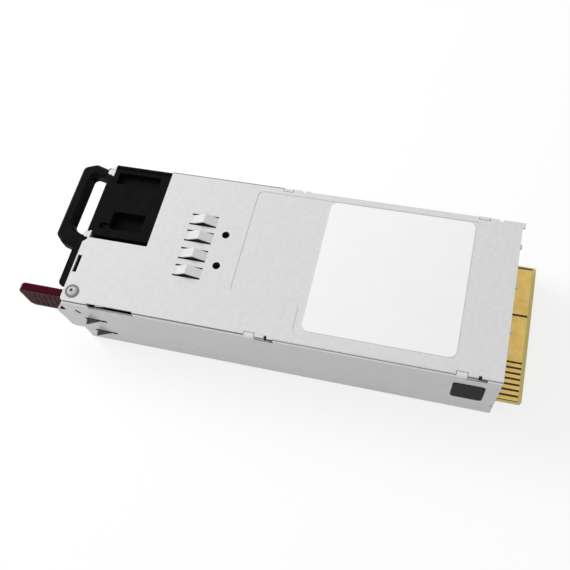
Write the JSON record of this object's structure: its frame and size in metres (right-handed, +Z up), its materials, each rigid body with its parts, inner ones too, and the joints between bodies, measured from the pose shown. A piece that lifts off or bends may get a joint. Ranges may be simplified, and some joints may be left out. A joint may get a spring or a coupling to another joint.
{
  "type": "hot swap server power supply",
  "caption": "Slim hot swap server power supply: sheet steel casing, handle, squeeze release lever with latch hooks, mains inlet, fan and gold edge connector.",
  "frame": {"origin": "centre of the bottom face of the casing", "axes": "+Z up, -Y towards the handle and mains inlet, +Y towards the edge connector, +X towards the side with the release lever"},
  "size_m": [0.0705, 0.2104, 0.0414],
  "materials": {
    "zinc_steel": "satin zinc-coated sheet",
    "bright_steel": "bright plated",
    "blackened_steel": "dark phosphated",
    "spring_steel": "bright wire",
    "black_plastic": "fine moulded texture",
    "inlet_plastic": "smooth moulded",
    "maroon_plastic": "smooth moulded",
    "label_white": "smooth blank film",
    "patch_dark": "smooth blank film",
    "led_lens": "diffusing lens",
    "tinned_brass": "tinned",
    "lead_sleeve": "insulated lead",
    "fan_plastic": "glass-filled moulding",
    "laminate": "solder mask over glass laminate",
    "card_laminate": "solder mask over glass laminate",
    "gold_plate": "hard gold plate",
    "film": "clear polyester film",
    "ferrite": "sintered",
    "iron_powder": "painted core",
    "copper_wire": "enamelled copper",
    "copper_bar": "plain copper",
    "yellow_case": "moulded case",
    "blue_disc": "dipped disc",
    "fuse_ceramic": "ceramic tube",
    "relay_case": "moulded case",
    "can_sleeve": "shrink sleeve",
    "can_aluminium": "drawn can",
    "sink_aluminium": "extruded",
    "package_black": "moulded epoxy",
    "tape_yellow": "polyester tape"
  },
  "bodies": {
    "chassis": {"chassis_tray": "zinc_steel", "top_cover": "zinc_steel", "front_panel": "zinc_steel", "rear_panel": "zinc_steel", "cover_rivet": "bright_steel", "rating_label": "label_white", "side_patch": "patch_dark", "front_bezel": "black_plastic", "status_led": "led_lens", "ac_inlet_shroud": "inlet_plastic", "ac_inlet_socket": "inlet_plastic", "inlet_blades": "tinned_brass", "inlet_leads": "lead_sleeve", "lever_pivot_pin": "bright_steel", "lever_spring": "spring_steel", "fan_frame": "fan_plastic", "fan_stator": "copper_wire", "fan_baffle": "zinc_steel", "fan_screws": "bright_steel", "main_pcb": "laminate", "power_pads": "gold_plate", "signal_pads": "gold_plate", "pcb_standoffs": "bright_steel", "pcb_screws": "bright_steel", "insulation_film": "film", "emi_choke_base": "package_black", "emi_choke_core": "ferrite", "emi_choke_windings": "copper_wire", "pfc_choke_base": "package_black", "pfc_choke_core": "iron_powder", "pfc_choke_winding": "copper_wire", "x_capacitor": "yellow_case", "y_capacitors": "blue_disc", "fuse": "fuse_ceramic", "fuse_clips": "bright_steel", "inrush_relay": "relay_case", "bulk_capacitors": "can_sleeve", "primary_heatsink": "sink_aluminium", "power_transistors": "package_black", "bridge_rectifier": "package_black", "main_transformer_core": "ferrite", "main_transformer_winding": "tape_yellow", "standby_transformer": "tape_yellow", "secondary_heatsink": "sink_aluminium", "output_capacitors": "can_aluminium", "output_busbars": "copper_bar", "control_card": "card_laminate", "control_chips": "package_black"},
    "lever": {"release_lever": "maroon_plastic", "latch_hooks": "blackened_steel", "latch_rivets": "bright_steel"},
    "fan_wheel": {"fan_rotor": "fan_plastic", "fan_shaft": "bright_steel"}
  },
  "joints": [
    {"name": "release_lever_squeeze", "type": "hinge", "parent": "chassis", "child": "lever", "pos_m": [0.029, -0.0655, 0.0274], "axis": [0, 0, -1], "range_deg": [0, 10], "stiffness_Nm_per_rad": 0.12, "springref_deg": -4.58, "deforming": ["lever_spring"]},
    {"name": "fan_spin", "type": "hinge", "parent": "chassis", "child": "fan_wheel", "pos_m": [0, -0.048, 0.0195], "axis": [0, 1, 0], "continuous": true}
  ]
}
